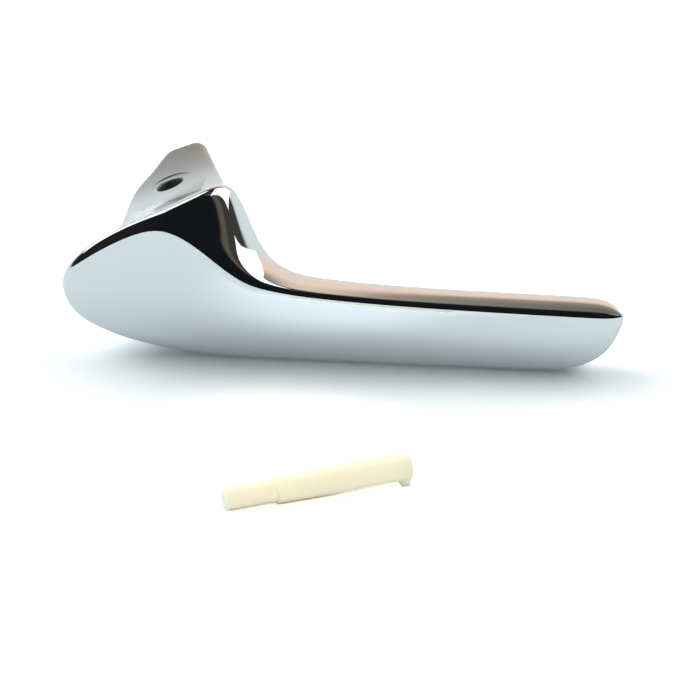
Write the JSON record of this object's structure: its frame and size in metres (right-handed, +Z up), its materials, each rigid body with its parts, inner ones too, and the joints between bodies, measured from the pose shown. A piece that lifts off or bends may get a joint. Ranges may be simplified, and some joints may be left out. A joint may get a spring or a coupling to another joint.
{
  "type": "car interior door handle",
  "caption": "Curved chrome lever with a swept neck and a pivot lug behind its head, with its stepped plastic pivot pin lying drawn out in front.",
  "frame": {"origin": "middle of the pivot bore through the lever's lug", "axes": "+X along the arm from the pivot to its tip, -Y out of the front face, +Z up from the surface that the lever and the pin lie on"},
  "size_m": [0.1255, 0.1163, 0.0379],
  "materials": {
    "chrome_plating": "polished",
    "cream_plastic": "satin"
  },
  "bodies": {
    "root": {"lever": "chrome_plating", "pivot_pin": "cream_plastic"}
  },
  "joints": []
}
